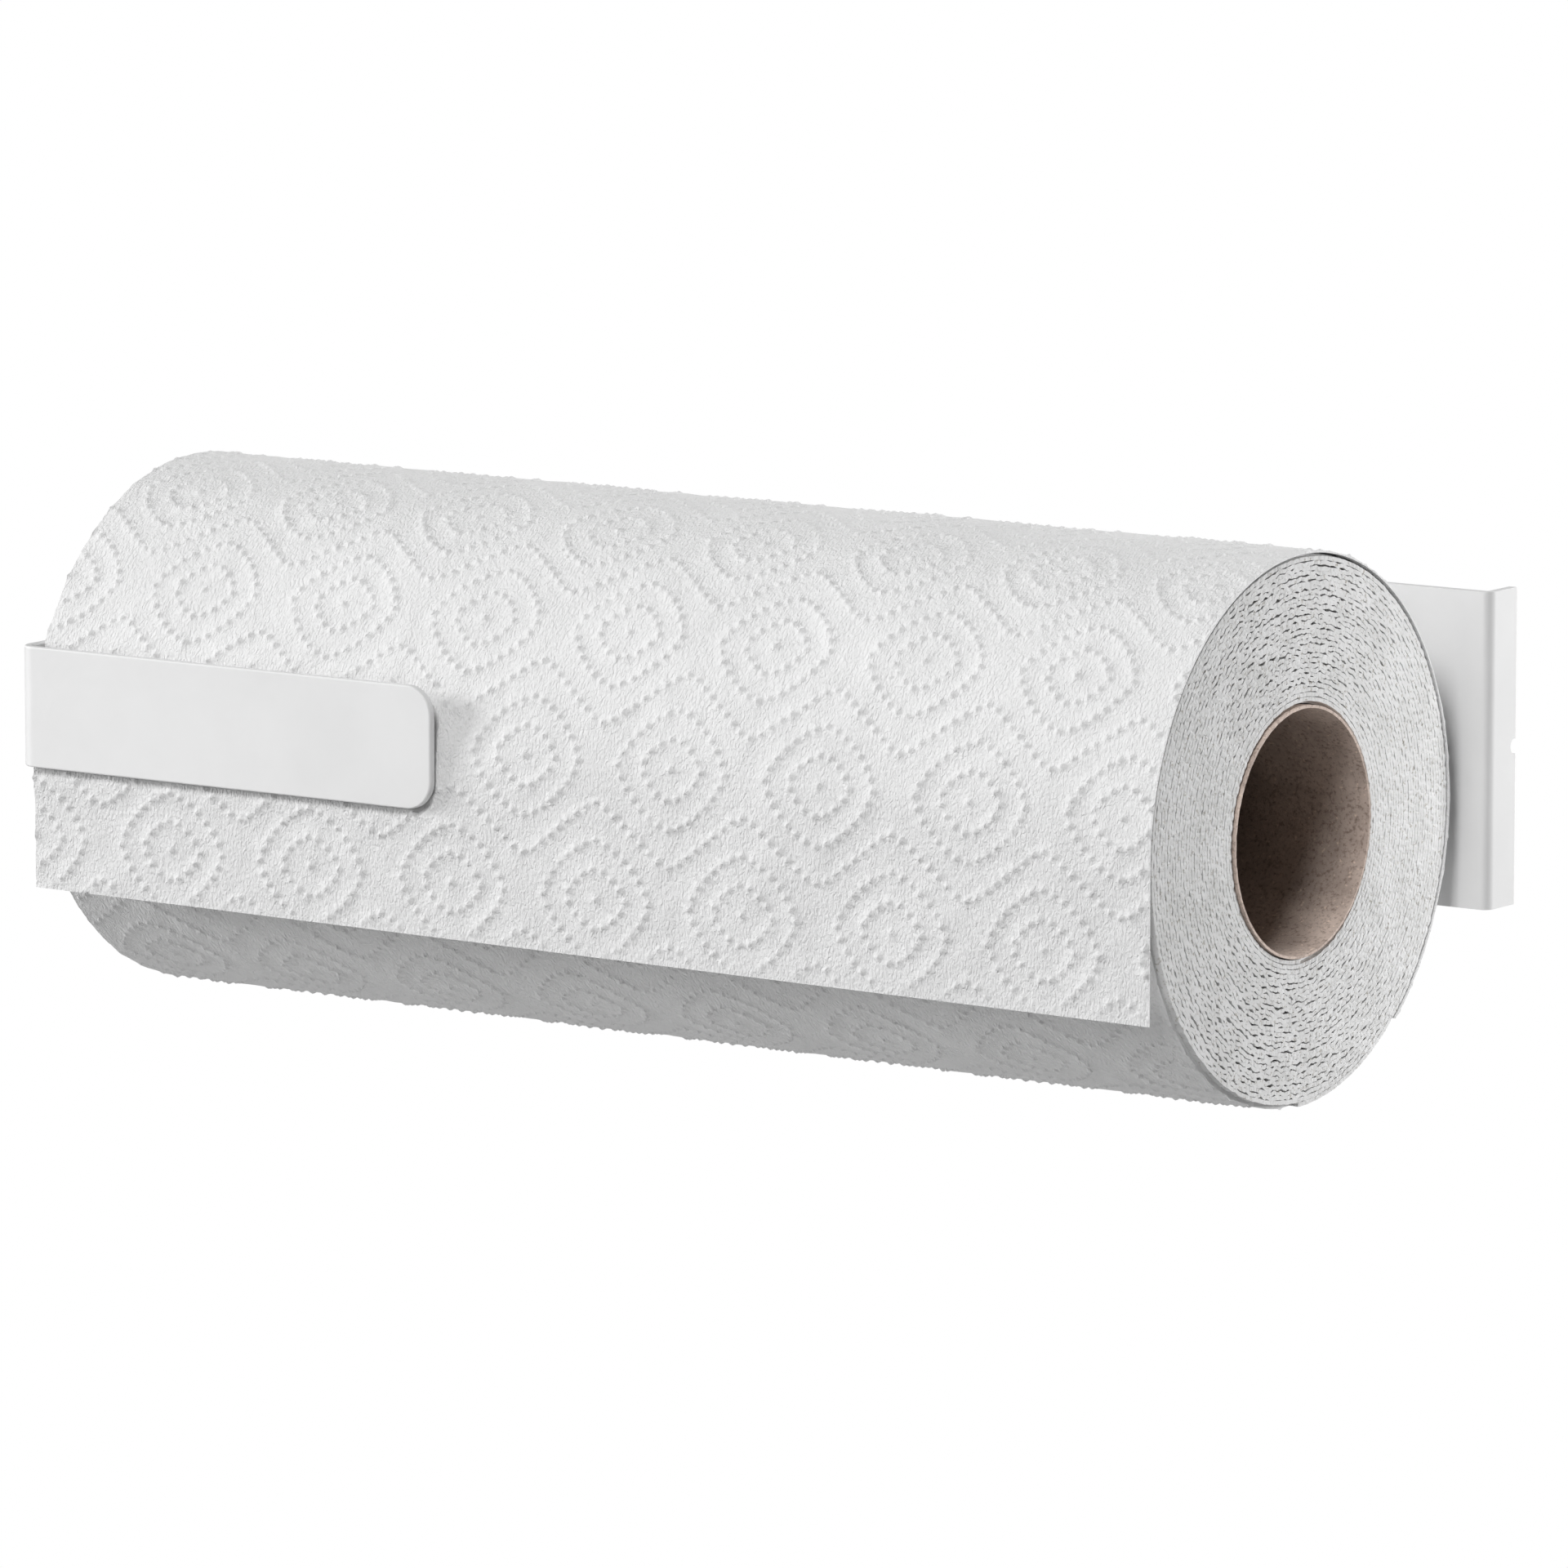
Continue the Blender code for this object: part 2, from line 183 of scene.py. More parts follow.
def turned(profile, place, axis="X", sides=48):
    """A closed solid turned from (along, radius) points; a profile off the axis is closed to a ring."""
    shape = bmesh.new()
    corners = [shape.verts.new((along, 0.0, radius)) for along, radius in profile]
    pairs = list(zip(corners, corners[1:]))
    if profile[0][1] > 0:
        pairs.append((corners[-1], corners[0]))
    edges = [shape.edges.new(pair) for pair in pairs]
    centre = {"cent": (0, 0, 0), "axis": (1, 0, 0), "angle": math.tau}
    bmesh.ops.spin(shape, geom=corners + edges, steps=sides, use_merge=True, **centre)
    bmesh.ops.remove_doubles(shape, verts=shape.verts, dist=WELD_NEAR)
    turn = Matrix.Rotation(math.radians(90 if axis == "Y" else 0), 4, "Z")
    bmesh.ops.transform(shape, matrix=Matrix.Translation(place) @ turn, verts=shape.verts)
    return shape


def rod(place, radius, length, axis="Y", sides=24):
    """A cylinder for cutting holes, centred on its place."""
    profile = [(-length / 2, 0.0), (-length / 2, radius), (length / 2, radius), (length / 2, 0.0)]
    return link_mesh("rod", turned(profile, place, axis, sides), coat)


coat = powder_coat()
channel_low, channel_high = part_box("back_channel")
face_y, rear_y = channel_low.y, channel_high.y
half_width = channel_high.x
screw_spots = [sum(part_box(f"magnet_screw_{side}"), Vector()) / 2 for side in ("left", "middle", "right")]
arm_screw_spots = [sum(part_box(f"arm_screw_{side}"), Vector()) / 2 for side in ("outer", "inner")]


def channel_outline():
    """The channel's section: the long face, a bend at each end and the two short flanges."""
    corner = (half_width - FOLD_RADIUS, face_y + FOLD_RADIUS)
    half = arc(corner, FOLD_RADIUS, -90, 0, 10) + [(half_width, rear_y), (half_width - SHEET_STEEL, rear_y)]
    half += arc(corner, FOLD_RADIUS - SHEET_STEEL, 0, -90, 4)
    return half + [(-x, y) for x, y in reversed(half)]


channel = link_mesh("back_channel_coated", extrude_z(channel_outline(), channel_low.z, channel_high.z), coat)
notch = rod((0, rear_y - NOTCH_CENTRE, 0), NOTCH_RADIUS, 2.2 * half_width, "X", 32)
holes = [rod((spot.x, face_y, 0), M4_HOLE, HOLE_DEPTH) for spot in screw_spots + arm_screw_spots]
cut_and_round(channel, [notch] + holes, COAT_EDGE)
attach(channel, "holder")
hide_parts("back_channel")


# ---- magnets -----------------------------------------------------------------------------------
# Three rubber-coated round magnets inside the channel. The jacket is moulded over the magnet and
# has a shallow rim and fine grip rings on the face that sits on the wall.
MAGNET_RIM = 0.0006
GRIP_RINGS = 9
GRIP_DEPTH = 0.00012
DISC_GAP = 0.0003


def moulded_rubber():
    """Black rubber with a dusty bloom and a fine moulded grain."""
    made, tree, shader, place = new_finish("moulded_rubber", 0.72)
    dust = noise(tree, place, 240.0, 4.0)
    tint(tree, shader, dust, (0.022, 0.022, 0.024), (0.05, 0.05, 0.052), 0.4, 0.75)
    tree.links.new(bump(tree, noise(tree, place, 3000.0, 3.0), 0.35, 0.00004), shader.inputs["Normal"])
    return made


def nickel_plate():
    """Dull nickel with soft clouds."""
    made, tree, shader, place = new_finish("nickel_plate", 0.34, 1.0)
    tint(tree, shader, noise(tree, place, 300.0, 4.0), (0.30, 0.30, 0.31), (0.44, 0.43, 0.42))
    tree.links.new(bump(tree, noise(tree, place, 2500.0, 2.0), 0.2, 0.00002), shader.inputs["Normal"])
    return made


def jacket_profile(low_y, high_y, radius, bore, skin):
    """The cup's section: open to the channel, closed on the wall side, with its grip rings."""
    rim = radius - MAGNET_RIM
    outline = [(high_y - skin, 0.0), (high_y - skin, bore), (low_y, bore), (low_y, rim)]
    outline += [(low_y + MAGNET_RIM, radius), (high_y - MAGNET_RIM, radius), (high_y, rim)]
    pitch = (radius - 2 * MAGNET_RIM) / (GRIP_RINGS * 2)
    for ring in range(GRIP_RINGS):
        groove = radius - 2 * MAGNET_RIM - 2 * ring * pitch
        outline += [(high_y, groove), (high_y - GRIP_DEPTH, groove - 0.4 * pitch)]
        outline.append((high_y, groove - 0.8 * pitch))
    return outline + [(high_y, 0.0)]


rubber = moulded_rubber()
nickel = nickel_plate()
for side in ("left", "middle", "right"):
    low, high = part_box(f"magnet_jacket_{side}")
    disc_low, disc_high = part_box(f"magnet_disc_{side}")
    middle_x = (low.x + high.x) / 2
    bore = (disc_high.x - disc_low.x) / 2 + DISC_GAP
    skin = high.y - disc_high.y - DISC_GAP
    section = jacket_profile(low.y, high.y, (high.x - low.x) / 2, bore, skin)
    jacket = link_mesh(f"magnet_rubber_{side}", turned(section, (middle_x, 0, 0), "Y", 96), rubber, 25.0)
    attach(jacket, "holder")
    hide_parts(f"magnet_jacket_{side}")
    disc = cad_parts[f"magnet_disc_{side}"].data
    disc.materials.clear()
    disc.materials.append(nickel)


# ---- arm strip ---------------------------------------------------------------------------------
# One flat steel strip, 21 mm wide and 1.5 mm thick, bent into a foot, a side arm and the front bar that
# presses on the paper. Its free end has rounded corners. It is powder coated with the channel.
STRIP_STEEL = 0.0015
STRIP_FOLD = 0.0035
STRIP_CORNER = 0.0050
FOOT_CORNER = 0.0030
STRIP_EDGE = 0.0007
FOOT_PAST_SCREW = 0.008
M6_HOLE = 0.0031
SINK_RADIUS = 0.0040
SINK_DEPTH = 0.0018

strip_low, strip_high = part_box("arm_strip")
foot_end_x = arm_screw_spots[1].x + FOOT_PAST_SCREW
foot_back_y = strip_high.y
arm_x = strip_low.x


def strip_outline():
    """The strip seen from above: the bar, its bend, the arm, its bend and the foot."""
    front, back = strip_low.y, strip_low.y + STRIP_STEEL
    inner = STRIP_FOLD - STRIP_STEEL
    front_corner = (arm_x + STRIP_FOLD, front + STRIP_FOLD)
    rear_corner = (arm_x + STRIP_FOLD, foot_back_y - STRIP_FOLD)
    outline = [(strip_high.x, back), (strip_high.x, front)]
    outline += arc(front_corner, STRIP_FOLD, 270, 180, 16)
    outline += arc(rear_corner, STRIP_FOLD, 180, 90, 16)
    outline += [(foot_end_x, foot_back_y), (foot_end_x, foot_back_y - STRIP_STEEL)]
    return outline + arc(rear_corner, inner, 90, 180, 12) + arc(front_corner, inner, 180, 270, 12)


def round_end(shape, end_x, radius):
    """Rounds the two corners of a strip's end."""
    edges = [edge for edge in shape.edges
             if all(abs(corner.co.x - end_x) < 1e-6 for corner in edge.verts)
             and abs(edge.verts[0].co.z - edge.verts[1].co.z) < 1e-6]
    bmesh.ops.bevel(shape, geom=edges, offset=radius, segments=24, profile=0.5, affect="EDGES")


strip_shape = extrude_z(strip_outline(), strip_low.z, strip_high.z)
round_end(strip_shape, strip_high.x, STRIP_CORNER)
round_end(strip_shape, foot_end_x, FOOT_CORNER)
strip = link_mesh("arm_strip_coated", strip_shape, coat)
spindle_low, spindle_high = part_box("spindle_tube")
axle_y = (spindle_low.y + spindle_high.y) / 2
strip_holes = [rod((arm_x, axle_y, 0), M6_HOLE, HOLE_DEPTH, "X")]
sink = [(-0.001, 0.0), (-0.001, SINK_RADIUS), (0.0, SINK_RADIUS), (SINK_DEPTH, M4_HOLE),
        (HOLE_DEPTH, M4_HOLE), (HOLE_DEPTH, 0.0)]
for spot in arm_screw_spots:
    place = (spot.x, foot_back_y - STRIP_STEEL, 0)
    strip_holes.append(link_mesh("sink", turned(sink, place, "Y", 32), coat))
cut_and_round(strip, strip_holes, STRIP_EDGE, 5)
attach(strip, "holder")
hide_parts("arm_strip")


# ---- screws and nuts ---------------------------------------------------------------------------
# Zinc-plated M4 and M6 screws and M4 hexagon nuts: low heads on the magnets' screws, countersunk heads
# in the arm's foot, and one low head outside the arm that holds the spindle. Rolled threads.


def zinc_plate():
    """Bright zinc with a faint blue-yellow tint, small dull spots and a fine grain."""
    made, tree, shader, place = new_finish("zinc_plate", 0.30, 1.0)
    tint(tree, shader, noise(tree, place, 500.0, 4.0), (0.60, 0.61, 0.62), (0.74, 0.73, 0.69), 0.3, 0.7)
    uneven_gloss(tree, shader, noise(tree, place, 1500.0), 0.22, 0.45)
    tree.links.new(bump(tree, noise(tree, place, 6000.0, 1.0), 0.25, 0.00001), shader.inputs["Normal"])
    return made


zinc = zinc_plate()
fixings = ["spindle_screw", "spindle_plug"]
fixings += [f"magnet_screw_{side}" for side in ("left", "middle", "right")]
fixings += [f"arm_{kind}_{side}" for kind in ("screw", "nut") for side in ("outer", "inner")]
for name in fixings:
    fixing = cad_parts[name].data
    fixing.materials.clear()
    fixing.materials.append(zinc)


# ---- spindle -----------------------------------------------------------------------------------
# The stub that the roll's core hangs on: a 25 mm steel tube, powder coated like the holder, screwed
# to the arm from outside. A moulded cap, pressed in, closes its free end.
TUBE_WALL = 0.0015
TUBE_EDGE = 0.0004
CAP_STEP = 0.0003
CAP_CHAMFER = 0.0006
CAP_DOME = 0.0025
DIMPLE_RADIUS = 0.006
DIMPLE_FLOOR = 0.0045
tube_radius = (spindle_high.z - spindle_low.z) / 2
cap_low, cap_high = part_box("spindle_cap")


def tube_profile():
    """The tube's wall, with small chamfers at both ends."""
    bore = tube_radius - TUBE_WALL
    left, right = spindle_low.x, spindle_high.x
    return [(left, bore), (left, tube_radius - TUBE_EDGE), (left + TUBE_EDGE, tube_radius),
            (right - TUBE_EDGE, tube_radius), (right, tube_radius - TUBE_EDGE), (right, bore)]


def cap_profile():
    """A chamfered plug, a flange as wide as the tube and a softly domed end with a dimple."""
    fit = tube_radius - TUBE_WALL - CAP_STEP
    flange = spindle_high.x + CAP_STEP
    dimple = cap_high.x - CAP_STEP
    outline = [(cap_low.x, 0.0), (cap_low.x, fit - CAP_CHAMFER), (cap_low.x + CAP_CHAMFER, fit)]
    outline += [(flange, fit), (flange, tube_radius - CAP_STEP), (flange + CAP_STEP, tube_radius)]
    outline += arc((cap_high.x - CAP_DOME, tube_radius - CAP_DOME), CAP_DOME, 90, 0, 10)
    outline += [(cap_high.x, DIMPLE_RADIUS), (dimple, DIMPLE_FLOOR), (dimple, 0.0)]
    return outline


def moulded_plastic():
    """White plastic with a fine moulded grain."""
    made, tree, shader, place = new_finish("moulded_plastic", 0.36)
    tint(tree, shader, noise(tree, place, 200.0, 2.0), (0.76, 0.76, 0.75), (0.81, 0.81, 0.80), 0.3, 0.7)
    tree.links.new(bump(tree, noise(tree, place, 5000.0, 2.0), 0.2, 0.00002), shader.inputs["Normal"])
    return made


plastic = moulded_plastic()
parts = (("spindle_tube", tube_profile(), coat, "powder_coated_steel"),
         ("spindle_cap", cap_profile(), plastic, "white_plastic"))
for name, profile, material, slot in parts:
    piece = link_mesh(name + "_finished", turned(profile, (0, axle_y, 0), "X", 96), material, 30.0)
    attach(piece, "holder")
    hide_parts(name)


# ---- core tube ---------------------------------------------------------------------------------
# The roll's core: grey-brown recycled board, two plies wound in a spiral and glued, then cut to length.
# The inner ply leaves a faint helical step, and the cut ends are slightly furred.
CORE_SIDES = 144
CORE_RINGS = 110
PLY_PITCH = 0.075
PLY_STEP = 0.00010
CORE_BOARD = 0.0005
CUT_FRAY = 0.00008
# Painted shade: the board's colour is darkened deep inside the tube, with painted light at its cut ends, in
# place of the light falling off into the bore.
PAINTED_SHADE_DEPTH = 0.032
DEEP_PAINTED_SHADE = 0.30
RIM_PAINTED_LIGHT = 1.25
core_low, core_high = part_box("core_tube")
roll_low, roll_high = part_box("paper_roll")
roll_y = (roll_low.y + roll_high.y) / 2
roll_z = (roll_low.z + roll_high.z) / 2
core_radius = (core_high.z - core_low.z) / 2


def parts_of(tree, vector):
    """The three numbers of a vector."""
    return add_node(tree, "ShaderNodeSeparateXYZ", {0: vector}).outputs


def calc(tree, operation, first, second=0.0, third=0.0):
    """One step of arithmetic on numbers or sockets."""
    return add_node(tree, "ShaderNodeMath", {0: first, 1: second, 2: third}, operation=operation).outputs[0]


def mixed_colour(tree, first, second, blend):
    """Two colours, multiplied or added."""
    made = add_node(tree, "ShaderNodeMix", {0: 1.0, 6: first, 7: second}, data_type="RGBA", blend_type=blend)
    return made.outputs[2]


def scaled_colour(tree, colour, amount):
    """A colour made brighter or darker by a number."""
    return add_node(tree, "ShaderNodeVectorMath", {0: colour, "Scale": amount}, operation="SCALE").outputs[0]


def core_board():
    """Recycled fibre: brown-grey, with dark and pale flecks and a soft mottle, with painted shade deep in
    the bore and painted light at the cut ends.
    """
    made, tree, shader, place = new_finish("core_board", 0.88)
    mottle = noise(tree, place, 90.0, 5.0, 0.65)
    base = ramp(tree, mottle, (0.33, 0.265, 0.23), (0.58, 0.48, 0.42), 0.3, 0.72)
    fleck = noise(tree, place, 1400.0, 3.0, 0.7)
    dark = ramp(tree, fleck, (0.55, 0.52, 0.5), (1.0, 1.0, 1.0), 0.32, 0.50)
    chips = noise(tree, place, 1100.0, 2.0, 0.6)
    pale = ramp(tree, chips, (0.0, 0.0, 0.0), (0.20, 0.16, 0.12), 0.64, 0.72)
    flecked = mixed_colour(tree, mixed_colour(tree, base, dark, "MULTIPLY"), pale, "ADD")
    # Painted shade and light: the colour is scaled down with depth from either cut end and scaled up at the
    # ends themselves.
    middle = (core_low.x + core_high.x) / 2
    half = (core_high.x - core_low.x) / 2
    off_middle = calc(tree, "ABSOLUTE", calc(tree, "SUBTRACT", parts_of(tree, place)[0], middle))
    depths = {"Value": off_middle, "From Min": half - PAINTED_SHADE_DEPTH, "From Max": half,
              "To Min": DEEP_PAINTED_SHADE, "To Max": RIM_PAINTED_LIGHT}
    painted_depth_shade = add_node(tree, "ShaderNodeMapRange", depths).outputs[0]
    tree.links.new(scaled_colour(tree, flecked, painted_depth_shade), shader.inputs["Base Color"])
    fibre = bump(tree, noise(tree, place, 2600.0, 4.0, 0.7), 0.5, 0.00008)
    tree.links.new(bump(tree, mottle, 0.3, 0.0003, fibre), shader.inputs["Normal"])
    return made


def core_shape():
    """A tube of rings; the bore has the ply's helical step, and the end rings are a little ragged."""
    shape = bmesh.new()
    left, right = core_low.x, core_high.x
    walls = []
    for bore in (False, True):
        rings = []
        for ring in range(CORE_RINGS + 1):
            along = left + (right - left) * ring / CORE_RINGS
            corners = []
            for side in range(CORE_SIDES):
                turn = math.tau * side / CORE_SIDES
                radius = core_radius - CORE_BOARD if bore else core_radius
                if bore:
                    lap = (turn / math.tau + (along - left) / PLY_PITCH) % 1.0
                    radius += PLY_STEP * lap
                fray = CUT_FRAY * math.sin(17 * turn) * math.sin(29 * turn + 1.0)
                inward = {0: abs(fray), CORE_RINGS: -abs(fray)}.get(ring, 0.0)
                place = (along + inward, roll_y + radius * math.cos(turn), roll_z + radius * math.sin(turn))
                corners.append(shape.verts.new(place))
            rings.append(corners)
        for first, second in zip(rings, rings[1:]):
            for side in range(CORE_SIDES):
                after = (side + 1) % CORE_SIDES
                shape.faces.new((first[side], first[after], second[after], second[side]))
        walls.append(rings)
    for end in (0, -1):
        outer, inner = walls[0][end], walls[1][end]
        for side in range(CORE_SIDES):
            after = (side + 1) % CORE_SIDES
            shape.faces.new((outer[side], outer[after], inner[after], inner[side]))
    return shape


board = core_board()
core = link_mesh("core_tube_board", core_shape(), board, 60.0)
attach(core, "roll")
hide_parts("core_tube")


# ---- embossed paper ----------------------------------------------------------------------------
# Two-ply kitchen paper, creped, then pressed with a pattern of raised dots: an eye of two rounded
# diamonds round a centre dot, in staggered rows with a zigzag of dots between the rows.
EYE_PITCH = 0.0298
ROW_PITCH = 0.0230
EYES_WIDE = 10
ROWS_HIGH = 30
EYE_X = 0.0049
EYE_S = -0.0152
INNER_DIAMOND = (0.0060, 0.0052, 15)
OUTER_DIAMOND = (0.0108, 0.0100, 28)
ZIGZAG_SLOPE = 0.0056
ZIGZAG_REACH = 0.0048
ZIGZAG_DOTS = 17
DIAMOND_POWER = 1.45
DOT_TOP = 0.00012
DOT_FOOT = 0.00072
DOT_HEIGHT = 0.00040
EDGE_STEP = 0.0008
DOT_OVERHANG = 0.001
FILL_GAP = 0.0004
TRIANGLE_ROW = 0.866  # height of an even triangle whose sides are 1
TAUT_FROM = 0.075  # from here up the sheet the winding keeps it tight, which flattens the dots
LOOSE_FROM = 0.020
TAUT_RELIEF = 0.75
LOOSE_RELIEF = 1.25
PRESSED_RELIEF = 0.25  # share of the relief that is left behind the bar
BAR_SWELL = 0.00045  # the paper bulges by this much round the bar
PRESS_FADE = (-0.0015, 0.0012)  # distances outwards from the bar's edge
SWELL_RISE = (-0.0004, 0.0005)
SWELL_FALL = (0.0005, 0.0070)
PILLOW_DEPTH = 0.0008
WAVE_DEPTH = 0.0006
CREPE_ACROSS = 0.00045
CREPE_ALONG = 0.00085
CREPE_HEIGHT = 0.00032


def tree_input(tree, name, kind="NodeSocketFloat"):
    """A named input of a geometry tree."""
    tree.interface.new_socket(name=name, in_out="INPUT", socket_type=kind)


def ease(tree, value, start, end, low=0.0, high=1.0):
    """Goes softly from low to high as the value goes from start to end."""
    inputs = {"Value": value, "From Min": start, "From Max": end, "To Min": low, "To Max": high}
    return add_node(tree, "ShaderNodeMapRange", inputs, interpolation_type="SMOOTHSTEP").outputs[0]


def joined_xyz(tree, x, y, z):
    """A vector of three numbers."""
    return add_node(tree, "ShaderNodeCombineXYZ", {0: x, 1: y, 2: z}).outputs[0]


def moved_to(tree, geometry, position):
    """The geometry with its points at new places."""
    return add_node(tree, "GeometryNodeSetPosition", {"Geometry": geometry, "Position": position}).outputs[0]


def dots_along(tree, curve, count):
    """Evenly spaced points along a curve."""
    return add_node(tree, "GeometryNodeCurveToPoints", {"Curve": curve, "Count": count}).outputs[0]


def dressed_output(tree, geometry, material):
    """Ends a tree: real geometry, with its material."""
    real = add_node(tree, "GeometryNodeRealizeInstances", {"Geometry": geometry}).outputs[0]
    dressed = add_node(tree, "GeometryNodeSetMaterial", {"Geometry": real, "Material": material}).outputs[0]
    add_node(tree, "NodeGroupOutput", {"Geometry": dressed})


def dotted_diamond(tree, half_x, half_s, dots):
    """Points evenly along a rounded diamond."""
    circle = add_node(tree, "GeometryNodeCurvePrimitiveCircle", {"Resolution": 96, "Radius": 1.0})
    x, y, _ = parts_of(tree, add_node(tree, "GeometryNodeInputPosition").outputs[0])
    sum_x = calc(tree, "POWER", calc(tree, "ABSOLUTE", x), DIAMOND_POWER)
    sum_y = calc(tree, "POWER", calc(tree, "ABSOLUTE", y), DIAMOND_POWER)
    grow_out = calc(tree, "POWER", calc(tree, "ADD", sum_x, sum_y), -1.0 / DIAMOND_POWER)
    wide = calc(tree, "MULTIPLY", calc(tree, "MULTIPLY", x, grow_out), half_x)
    tall = calc(tree, "MULTIPLY", calc(tree, "MULTIPLY", y, grow_out), half_s)
    return dots_along(tree, moved_to(tree, circle.outputs[0], joined_xyz(tree, wide, tall, 0.0)), dots)


def dotted_zigzag(tree, row_pitch):
    """Points along one period of the soft zigzag above an eye."""
    ends = {"Start": (-EYE_PITCH / 2, 0, 0), "End": (EYE_PITCH / 2, 0, 0)}
    line = add_node(tree, "GeometryNodeCurvePrimitiveLine", ends).outputs[0]
    fine = add_node(tree, "GeometryNodeResampleCurve", {"Curve": line, "Count": 49}).outputs[0]
    x, _, _ = parts_of(tree, add_node(tree, "GeometryNodeInputPosition").outputs[0])
    wave = calc(tree, "MULTIPLY_ADD", calc(tree, "ABSOLUTE", x), -4 * ZIGZAG_SLOPE / EYE_PITCH, ZIGZAG_SLOPE)
    capped = calc(tree, "MAXIMUM", calc(tree, "MINIMUM", wave, ZIGZAG_REACH), -ZIGZAG_REACH)
    high = calc(tree, "MULTIPLY_ADD", row_pitch, 0.5, capped)
    return dots_along(tree, moved_to(tree, fine, joined_xyz(tree, x, high, 0.0)), ZIGZAG_DOTS)


def emboss_pattern_tree():
    """All the dots of the flat pattern, ten eyes wide and thirty rows high."""
    tree = bpy.data.node_groups.new("emboss_pattern", "GeometryNodeTree")
    tree_input(tree, "Row Pitch")
    tree.interface.new_socket(name="Geometry", in_out="OUTPUT", socket_type="NodeSocketGeometry")
    row_pitch = add_node(tree, "NodeGroupInput").outputs["Row Pitch"]
    eye = add_node(tree, "GeometryNodeJoinGeometry")
    centre = add_node(tree, "GeometryNodePoints", {"Count": 1}).outputs[0]
    diamonds = [dotted_diamond(tree, *INNER_DIAMOND), dotted_diamond(tree, *OUTER_DIAMOND)]
    for points in (centre, *diamonds, dotted_zigzag(tree, row_pitch)):
        tree.links.new(points, eye.inputs[0])
    size = {"Size X": EYES_WIDE * EYE_PITCH, "Size Y": calc(tree, "MULTIPLY", row_pitch, ROWS_HIGH),
            "Vertices X": EYES_WIDE + 1, "Vertices Y": ROWS_HIGH + 1}
    lattice = add_node(tree, "GeometryNodeMeshGrid", size).outputs[0]
    x, y, _ = parts_of(tree, add_node(tree, "GeometryNodeInputPosition").outputs[0])
    row = calc(tree, "ROUND", calc(tree, "DIVIDE", y, row_pitch))
    odd = calc(tree, "FLOORED_MODULO", row, 2.0)
    staggered = calc(tree, "MULTIPLY_ADD", odd, EYE_PITCH / 2, calc(tree, "ADD", x, EYE_X))
    lowered = calc(tree, "ADD", calc(tree, "MULTIPLY", row, row_pitch), EYE_S)
    placed = moved_to(tree, lattice, joined_xyz(tree, staggered, lowered, 0.0))
    repeated = add_node(tree, "GeometryNodeInstanceOnPoints", {"Points": placed, "Instance": eye.outputs[0]})
    real = add_node(tree, "GeometryNodeRealizeInstances", {"Geometry": repeated.outputs[0]}).outputs[0]
    corners = add_node(tree, "GeometryNodePointsToVertices", {"Points": real}).outputs[0]
    add_node(tree, "NodeGroupOutput", {"Geometry": corners})
    return tree


